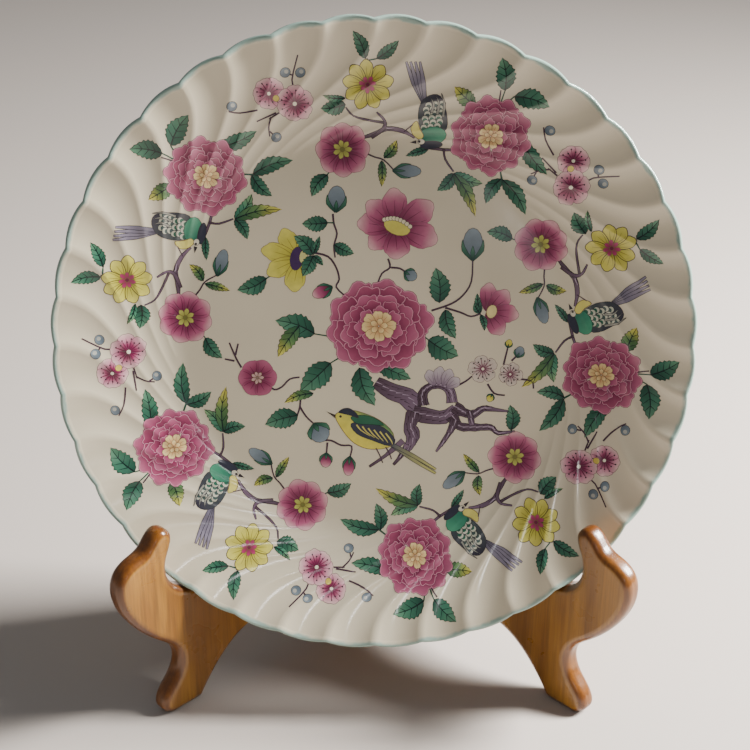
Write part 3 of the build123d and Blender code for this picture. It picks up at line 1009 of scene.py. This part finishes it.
def paint_spray():
    """One repeat of the border, at the top of the dish."""
    p = Painting(3)
    for points, widths in (
            (((-7.5, 100), (0, 102.3), (6.3, 105), (13.8, 104), (20, 100.6)),
             (1.2, 2.4, 2.6, 2.2, 1.2)),
            (((-1.3, 100.5), (4.6, 105), (5.2, 109), (1.3, 113.1)), (1.6, 2.2, 1.6, 0.8)),
            (((5, 108), (-2.5, 109.2), (-10, 111.3), (-13.8, 115.6)), (1.4, 1.2, 1.0, 0.7)),
            (((25, 96), (35, 94.6), (43.8, 95)), (1.8, 1.5, 1.0)),
            (((34.4, 95), (35.2, 90), (39.4, 83.8)), (1.3, 1.0, 0.8))):
        p.trunk(points, widths)
    for points in (((-3, 92.5), (0.5, 91), (5, 89.5), (10, 84.4)),
                   ((-37.5, 123.8), (-39.4, 128.8), (-36.3, 140.6)),
                   ((-38.6, 131), (-42, 131.8)), ((-56.3, 114.4), (-65, 113), (-71, 114)),
                   ((-47.5, 113), (-57, 108.8)), ((-50, 111), (-51.3, 106), (-51, 101.3)),
                   ((-46, 113), (-51, 110)),
                   ((-51, 104), (-48.5, 101.5)), ((-3.5, 130), (-3.2, 139)),
                   ((60, 114), (61, 124))):
        p.twig(*points)
    for base, tip, width, stops, stem in (
            ((63, 123.8), (61, 139.4), 10.6, GREEN, (60, 114)),
            ((67.5, 121), (84.4, 116), 11, GREEN, (60, 114)),
            ((48.8, 116.3), (38.8, 125.6), 9, YELLOW_TIP, (52, 112)),
            ((72.5, 98.5), (85, 83), 9, GREEN, (68, 100)),
            ((63, 80.5), (55.5, 68), 8, GREEN, (62, 86)),
            ((63.5, 80), (75.5, 62.5), 9, GREEN, (62, 86)),
            ((39.5, 83), (31.3, 74.4), 7, GREEN, None),
            ((39.5, 83), (54, 78), 7.5, PALE_GREEN, None),
            ((39.5, 83), (50.5, 61.5), 7.5, YELLOW_TIP, None),
            ((26.9, 95), (15.6, 91.5), 4.5, GREEN, None),
            ((-4, 138.8), (-10, 151.9), 7.5, GREEN, None),
            ((1.3, 138.8), (11.9, 147.3), 6.5, GREEN, (-3, 138)),
            ((-13.8, 117), (-26, 115), 9, GREEN, None),
            ((-14, 120), (-25, 121.5), 4, PALE_GREEN, None),
            ((5, 90.6), (11.3, 99.4), 6, YELLOW_TIP, None),
            ((3.8, 89.4), (3.8, 76.3), 5, YELLOW_TIP, None),
            ((-23, 82.5), (-31, 71.5), 8.5, GREEN, (-19, 88))):
        p.leaf(base, tip, width, stops, stem)
    p.bud((10, 84.4), (23.5, 84), 6.5)
    for spot in ((-42.5, 132.3), (-35.3, 132.3), (-68.5, 116.3), (-47.8, 101)):
        p.disc(spot, 2.7, along((spot[0], spot[1] - 3), (spot[0], spot[1] + 3), GREY_BLUE), INK,
               0.9, 0.6)
        p.disc((spot[0] + 0.5, spot[1] + 0.5), 1.0, rgb(176, 176, 166))
    p.kind = "flowers"
    p.open_flower((-15.6, 94.8), 14, 8, PINK)
    p.open_flower((-3, 126.5), 12.6, 9, YELLOW, rgb(176, 60, 104), 0.2)
    p.cherry((-50.6, 122.3), 8.2, start=0.9)
    p.cherry((-38.4, 117.3), 9.4, start=0.4, count=6)
    p.disc((-47.3, 120), 1.7, rgb(206, 186, 84), BROWN)
    p.kind = "birds"
    paint_bird(p)
    p.kind = "flowers"
    p.peony((57, 101.5), 19.3)
    return p.lay({round(SLIP * math.sin(math.pi * k / REPEATS), 5) for k in range(REPEATS)})


def paint_song_bird(p):
    """Yellow bird on the trunk."""
    dark = rgb(44, 42, 52)
    for shift in (-1.1, 1.0):
        p.ribbon(((8, -55.5), (20, -63 + shift), (32, -70.5 + shift)), (2.4, 2.2, 1.4),
                 along((8, -56), (32, -70), stops_of((0, 70, 74, 90), (1, 190, 186, 110))), dark)
    p.rounded(((-20, -41.5), (-17, -47.5), (-12, -54), (-6, -57.8), (1, -58.8), (9, -57), (10, -50),
               (3, -43), (-6, -39), (-13, -37.6), (-18.5, -39)),
              along((-10, -56), (0, -42),
                    stops_of((0, 222, 206, 84), (0.7, 190, 184, 84), (1, 70, 120, 80))), BROWN)
    p.rounded(((-12, -45), (-4, -44), (5, -47), (11, -53.5), (8, -57), (-1, -54), (-9, -50.5)),
              rgb(54, 56, 70), dark)
    p.rounded(((-12, -41.4), (-5, -40.4), (2, -42.8), (5, -46), (-1, -45.6), (-9, -45)),
              rgb(44, 96, 70), rgb(24, 50, 42))
    for k in range(6):
        p.ribbon(((-9 + 3 * k, -45.6 - 0.9 * k), (-6.6 + 3.1 * k, -48.6 - 1.1 * k),
                  (-2 + 2.3 * k, -51.6 - 0.9 * k)),
                 (0.8, 0.6, 0.2), rgb(200, 190, 96))
    p.rounded(((-18.4, -39), (-16, -37), (-12.5, -36.8), (-9, -39.4), (-8, -42), (-12, -40.8),
               (-16, -39.8)),
              rgb(44, 46, 60), INK)
    p.disc((-17.2, -41.2), 0.7, INK)
    p.area(((-19.6, -40.4), (-24.5, -38.5), (-20, -42)), rgb(60, 50, 44))
    p.ribbon(((1, -58), (3, -62), (4.5, -66)), (0.7, 0.6))
    p.ribbon(((6, -57.5), (8, -61), (9, -64)), (0.7, 0.6))


def paint_middle():
    """The spray in the middle of the well."""
    p = Painting(11)
    for points, widths in (
            (((1, -23), (9, -28), (17, -31), (22, -37)), (6, 9, 10, 11)),
            (((25.4, -35.4), (25, -29), (29, -25.2), (34.5, -24.8), (39, -28), (40, -34)),
             (6, 4.6, 4.4, 4.4, 4.8, 6)),
            (((20, -39), (28, -41), (36, -41.5), (42, -37)), (8, 7.5, 8, 5)),
            (((21, -39), (18.5, -46), (20, -52), (16.5, -60)), (8, 7, 7.5, 2.6)),
            (((41, -36), (46, -39), (51, -40), (56, -37), (62, -37.6), (69, -38.5)),
             (7, 5.4, 4.6, 3.6, 2.4, 1.0)),
            (((40, -41), (44, -46.4), (52, -47), (60, -47), (64, -50), (72.5, -49)),
             (7, 4.6, 4, 3.6, 2.6, 1.0)),
            (((49, -38.5), (50.5, -46)), (3.4, 3)),
            (((42, -43), (38, -51), (32, -60)), (5, 3, 1.0)),
            (((-2.5, -68), (6, -62), (15, -54)), (1.2, 2.2, 3.4)),
            (((10, -67), (14, -62), (17, -56)), (1.4, 2.6, 3))):
        p.trunk(points, widths)
    for points in (((7, 40.5), (8, 36), (4, 33), (1.5, 27)), ((8.5, 36), (13, 35.5), (16, 33.5)),
                   ((-30, 43.5), (-23, 41.5), (-19, 36), (-17.5, 30), (-19, 26), (-14, 21)),
                   ((-20.5, 63), (-20, 58), (-18.5, 53), (-20, 47), (-19.5, 41)),
                   ((29, 14), (39, 17.5), (45, 22), (49, 29), (49.5, 40)),
                   ((36, 15.5), (44, 13), (49, 11), (54, 12.5)),
                   ((-67.5, -15.5), (-70, -11), (-73.5, -2.5)), ((-70.5, -9), (-69, -3)),
                   ((-71, -12), (-76, -11)),
                   ((-54.5, -24), (-51, -27), (-47, -25.5), (-43, -21.5), (-38, -20.5)),
                   ((-37.5, -28), (-38, -36), (-40, -42)), ((-38, -36), (-35, -41), (-31, -45)),
                   ((-27, -54), (-22, -54), (-17, -56.5), (-11.5, -57), (-12.5, -63)),
                   ((-24, -55), (-24.6, -61)),
                   ((42.5, -25), (47, -22.5), (50, -20)), ((58, -24), (61.5, -29), (67, -30)),
                   ((70, -12), (73, -9)), ((66, -14), (68, -5)),
                   ((74, -21.5), (80.5, -22.5), (81.5, -26.5))):
        p.twig(*points, width=1.1)
    for base, tip, width, stops, stem in (
            ((-23, 58.5), (-36, 58), 9, GREEN, (-20, 58.5)),
            ((-20, 47.5), (-10, 43), 7.5, GREEN, None),
            ((-54, 30.5), (-69, 24.5), 10, GREEN, (-52, 31.8)),
            ((33, 18), (31, 36), 12, GREEN, None),
            ((36, 14.5), (41.5, -0.5), 9.5, GREEN, None),
            ((27.5, -1), (43, -9.5), 14, GREEN, (24, 2)),
            ((1, -13), (19, -21.5), 10, GREEN, None),
            ((-7.5, -15.5), (0.5, -35.5), 13, GREEN, None),
            ((-30, 2), (-50, 9), 13, GREEN, (-19, 0.2)),
            ((-38, 6), (-49, -10), 9, YELLOW_TIP, None),
            ((-22, -13), (-38, -28), 14, GREEN, (-17, -10)),
            ((-31, -29), (-46, -34), 6, YELLOW_TIP, None),
            ((-39, -40.5), (-56, -45.5), 12, GREEN, None)):
        p.leaf(base, tip, width, stops, stem)
    for base, tip, width, stops in (
            ((15.5, 33.6), (21.5, 30.5), 6, GREY_BLUE), ((-21.5, 26), (-31, 21.5), 6.5, PINK),
            ((-19, 64.5), (-18.2, 77), 9, GREY_BLUE), ((49.5, 40.5), (49.5, 56), 10, GREY_BLUE),
            ((73, -10), (75, -4.5), 5, GREY_BLUE), ((68, -5), (69, -0.8), 3.6, YELLOW),
            ((60.5, -29.5), (58.5, -33.4), 3.8, YELLOW),
            ((-30.5, -45.5), (-25.5, -54.5), 10.5, GREY_BLUE),
            ((-24.6, -61), (-25.2, -68.5), 6, PINK), ((-12.5, -63), (-13.6, -73), 6, PINK)):
        p.bud(base, tip, width, stops)
    p.kind = "flowers"
    for k, (tip, width) in enumerate((
            ((-2.5, 46.5), 11), ((-8, 59), 12), ((-3, 69), 12), ((10, 75.5), 13),
            ((29, 68), 14), ((31.5, 50), 14), ((12, 40.5), 14))):
        p.petal((11 - 0.1 * k, 56), tip, width, PINK, rgb(128, 74, 96), streaks=3)
    p.disc((11.5, 56.5), 7, rgb(206, 196, 92), BROWN, 0.6, -0.35)
    for k in range(9):
        p.disc((5.2 + 1.6 * k, 59 - 0.45 * k + 3.2 * math.sin(0.35 + k * 0.3)), 1.25,
               rgb(222, 212, 178), INK)
    for tip, width in (((-46, 55), 10), ((-56, 45.5), 10), ((-53.5, 33), 10), ((-41, 24), 11)):
        p.petal((-37.5, 40.5), tip, width, YELLOW, BROWN, streaks=3)
    p.disc((-38.8, 40.5), 6.2, rgb(66, 42, 84), INK, 0.55, 1.4)
    p.disc((-35.4, 41.5), 3.6, rgb(200, 196, 130), INK, 0.6, 1.4)
    for base, tip, wide in (((-30.5, 42.5), (-40, 52), 9), ((-30.5, 42), (-36, 31.5), 8.5),
                            ((-30.5, 42.5), (-27, 52), 4), ((-30.5, 42), (-25.5, 37), 4)):
        p.leaf(base, tip, wide, GREEN)
    for tip, width in (((58, 28), 9), ((68, 23.5), 10), ((73, 12), 10), ((65, 2), 10)):
        p.petal((57, 13.5), tip, width, PINK, rgb(128, 74, 96))
    p.disc((59.5, 13.5), 3.6, rgb(222, 204, 140), BROWN, 0.75, 1.3)
    for base, tip in (((54, 13), (52, 23)), ((54, 12), (56, 3.5)), ((53.5, 12.5), (50.5, 18))):
        p.leaf(base, tip, 4.2, GREEN)
    p.open_flower((-59.5, -20.8), 9.8, 6, ROSE, rgb(214, 176, 170))
    for base, tip in (((31, -25), (27.4, -17)), ((33, -24.6), (33.6, -15)),
                      ((35, -24.8), (39.4, -16.6)), ((37, -26), (43.6, -21.4))):
        p.petal(base, tip, 6.2, LILAC, rgb(70, 56, 66))
    p.cherry((55.5, -16.2), 7.8, WHITE)
    p.cherry((69.5, -19), 6.6, WHITE, 1.1)
    p.kind = "birds"
    paint_song_bird(p)
    p.kind = "flowers"
    p.peony((2.4, 6), 27.5, 0.86, 0.1)
    return p.lay()


def drape_tree():
    """Copies of a flat film turned about the axis and laid on the dish."""
    tree, given, result = new_tree(
        "Draped copies", "GeometryNodeTree",
        [("Geometry", "NodeSocketGeometry", None), ("Copies", "NodeSocketInt", REPEATS),
         ("Slip", "NodeSocketFloat", 0.0), ("Dish", "NodeSocketObject", None),
         ("Lift", "NodeSocketFloat", FILM_LIFT), ("Depth", "NodeSocketFloat", FILM_DEPTH),
         ("Material", "NodeSocketMaterial", None)],
        [("Geometry", "NodeSocketGeometry")])
    points = node(tree, "GeometryNodePoints", None, Count=given.outputs["Copies"])
    share = sums(tree, "DIVIDE", tree.nodes.new("GeometryNodeInputIndex").outputs[0],
                 given.outputs["Copies"])
    lateness = sums(tree, "SINE", sums(tree, "MULTIPLY", share, math.pi))
    late = sums(tree, "MULTIPLY", lateness, given.outputs["Slip"])
    spin = node(tree, "ShaderNodeCombineXYZ", None,
                Z=sums(tree, "ADD", sums(tree, "MULTIPLY", share, math.tau), late))
    copies = node(tree, "GeometryNodeInstanceOnPoints", None, Points=points.outputs[0],
                  Instance=given.outputs["Geometry"], Rotation=spin.outputs[0])
    real = node(tree, "GeometryNodeRealizeInstances", None, Geometry=copies.outputs[0])
    dish = node(tree, "GeometryNodeObjectInfo", None, Object=given.outputs["Dish"])
    place = tree.nodes.new("GeometryNodeInputPosition").outputs[0]
    above = node(tree, "ShaderNodeVectorMath", {"operation": "ADD"}, _0=place, _1=(0.0, 0.0, 90.0))
    hit = node(tree, "GeometryNodeRaycast", None, Target_Geometry=dish.outputs["Geometry"],
               Source_Position=above.outputs[0], Ray_Direction=(0.0, 0.0, -1.0), Ray_Length=200.0)
    top = node(tree, "GeometryNodeInputNamedAttribute", {"data_type": "FLOAT"}, Name="top")
    span = sums(tree, "ADD", given.outputs["Lift"], given.outputs["Depth"])
    lift = sums(tree, "SUBTRACT", sums(tree, "MULTIPLY", top.outputs["Attribute"], span),
                given.outputs["Depth"])
    shift = node(tree, "ShaderNodeCombineXYZ", None, Z=lift)
    laid = node(tree, "ShaderNodeVectorMath", {"operation": "ADD"}, _0=hit.outputs["Hit Position"],
                _1=shift.outputs[0])
    moved = node(tree, "GeometryNodeSetPosition", None, Geometry=real.outputs[0],
                 Position=laid.outputs[0])
    whole = node(tree, "GeometryNodeRealizeInstances", None, Geometry=moved.outputs[0])
    dressed = node(tree, "GeometryNodeSetMaterial", None, Geometry=whole.outputs[0],
                   Material=given.outputs["Material"])
    feed(tree, result, Geometry=dressed.outputs[0])
    return tree


class PLATTER_OT_sprays(bpy.types.Operator):
    """Paint the border sprays and the middle spray"""

    bl_idname = "platter.sprays"
    bl_label = "Painted sprays"

    def execute(self, context):
        material = enamel_material()
        form = bpy.data.objects["platter_glazed"].data.copy()
        form.transform(Matrix.Scale(1 / MM, 4) @ platter_place().inverted())
        dish = bpy.data.objects.new("dish form", form)
        context.scene.collection.objects.link(dish)
        tree = drape_tree()
        flat = [("border_" + kind, mesh, REPEATS) for kind, mesh in paint_spray().items()]
        flat += [("middle_" + kind, mesh, 1) for kind, mesh in paint_middle().items()]
        for name, film_mesh, count in flat:
            holder = bpy.data.objects.new("flat film", film_mesh)
            context.scene.collection.objects.link(holder)
            mesh = apply_tree(holder, tree, {
                "Copies": count, "Slip": SLIP, "Dish": dish, "Lift": FILM_LIFT,
                "Depth": FILM_DEPTH, "Material": material}, "drape")
            bpy.data.objects.remove(holder)
            bpy.data.meshes.remove(film_mesh)
            if not mesh.polygons:
                raise RuntimeError(name + " came out empty")
            mesh.transform(platter_place() @ Matrix.Scale(MM, 4))
            place_piece(name, mesh, "platter", "glazed_china")
        bpy.data.objects.remove(dish)
        bpy.data.meshes.remove(form)
        return {"FINISHED"}


# ------------------------------------------------------------------ the stand
class PLATTER_OT_boards(bpy.types.Operator):
    """Finish the two oak boards"""

    bl_idname = "platter.boards"
    bl_label = "Oak boards"

    def execute(self, context):
        material = oak_material()
        for name in ("stand_leaf_left", "stand_leaf_right"):
            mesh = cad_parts[name].data
            mesh.materials.clear()
            mesh.materials.append(material)
        return {"FINISHED"}


class PLATTER_OT_hinges(bpy.types.Operator):
    """Finish the brass hinges and their screws"""

    bl_idname = "platter.hinges"
    bl_label = "Brass hinges"

    def execute(self, context):
        material = brass_material()
        for name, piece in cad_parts.items():
            if name.startswith(("upper_", "lower_")):
                piece.data.materials.clear()
                piece.data.materials.append(material)
        return {"FINISHED"}


# ------------------------------------------------------------------ the studio
def soft_light(name, place, target, size, power, tint):
    """Area light that looks at its target."""
    lamp = bpy.data.lights.new(name, "AREA")
    lamp.shape = "RECTANGLE"
    lamp.size = size[0]
    lamp.size_y = size[1]
    lamp.energy = power
    lamp.color = tint
    holder = bpy.data.objects.new(name, lamp)
    bpy.context.scene.collection.objects.link(holder)
    holder.location = place
    holder.rotation_euler = (Vector(target) - Vector(place)).to_track_quat("-Z", "Y").to_euler()


class PLATTER_OT_studio(bpy.types.Operator):
    """Set the camera, the floor and the light"""

    bl_idname = "platter.studio"
    bl_label = "Studio"

    def execute(self, context):
        s = context.scene.platter_studio
        rim = platter_place() @ Vector((0, 0, dish_height(sizes().cusp_radius) * MM))
        ahead = Vector((0, math.cos(s.pitch), -math.sin(s.pitch)))
        above = Vector((0, math.sin(s.pitch), math.cos(s.pitch)))
        camera = bpy.data.cameras.new("camera")
        camera.lens = s.lens
        camera.clip_start = 0.01
        holder = bpy.data.objects.new("camera", camera)
        context.scene.collection.objects.link(holder)
        aside = Vector((CAMERA_SHIFT, 0, 0))
        holder.location = rim - ahead * s.distance - above * CAMERA_DROP + aside
        holder.rotation_euler = (math.pi / 2 - s.pitch, 0, 0)
        context.scene.camera = holder

        cloth = bpy.data.meshes.new("floor")
        corners = [(x * FLOOR_REACH, y * FLOOR_REACH, 0)
                   for x, y in ((-1, -1), (1, -1), (1, 1), (-1, 1))]
        cloth.from_pydata(corners, [], [(0, 1, 2, 3)])
        floor = bpy.data.objects.new("floor", cloth)
        context.scene.collection.objects.link(floor)
        material, tree, shader = new_material("Floor")
        feed(tree, shader, Base_Color=(0.56, 0.50, 0.45, 1), Roughness=0.9)
        cloth.materials.append(material)

        soft_light("window", (1.05, 0.13, 0.86), (0, 0, 0.2), (0.34, 0.6), s.window_power,
                   (1.0, 0.98, 0.95))
        soft_light("pane", (0.215, -1.0, 0.455), (-0.077, 0, 0.12), (0.05, 0.12), 0.35,
                   (1.0, 1.0, 1.0))
        world = bpy.data.worlds.new("studio")
        context.scene.world = world
        world.use_nodes = True
        sky = world.node_tree
        feed(sky, sky.nodes["Background"], Color=(0.92, 0.95, 1.0, 1), Strength=s.fill)
        return {"FINISHED"}


class PLATTER_PT_panel(bpy.types.Panel):
    """Panel with the settings and the steps"""

    bl_label = "China platter"
    bl_idname = "PLATTER_PT_panel"
    bl_space_type = "VIEW_3D"
    bl_region_type = "UI"
    bl_category = "Platter"

    def draw(self, context):
        for group in (context.scene.platter_sizes, context.scene.platter_colours,
                      context.scene.platter_studio):
            box = self.layout.box()
            for name in group.__annotations__:
                box.prop(group, name)
        for operator in STEPS:
            self.layout.operator(operator.bl_idname)


STEPS = (PLATTER_OT_dish, PLATTER_OT_sprays, PLATTER_OT_boards, PLATTER_OT_hinges,
         PLATTER_OT_studio)
CLASSES = (PlatterSizes, FinishColours, StudioSettings, *STEPS, PLATTER_PT_panel)


def register():
    for one in CLASSES:
        bpy.utils.register_class(one)
    bpy.types.Scene.platter_sizes = bpy.props.PointerProperty(type=PlatterSizes)
    bpy.types.Scene.platter_colours = bpy.props.PointerProperty(type=FinishColours)
    bpy.types.Scene.platter_studio = bpy.props.PointerProperty(type=StudioSettings)


def unregister():
    del bpy.types.Scene.platter_sizes
    del bpy.types.Scene.platter_colours
    del bpy.types.Scene.platter_studio
    for one in reversed(CLASSES):
        bpy.utils.unregister_class(one)


def main():
    register()
    for operator in STEPS:
        family, name = operator.bl_idname.split(".")
        getattr(getattr(bpy.ops, family), name)()


if __name__ == "__main__":
    main()
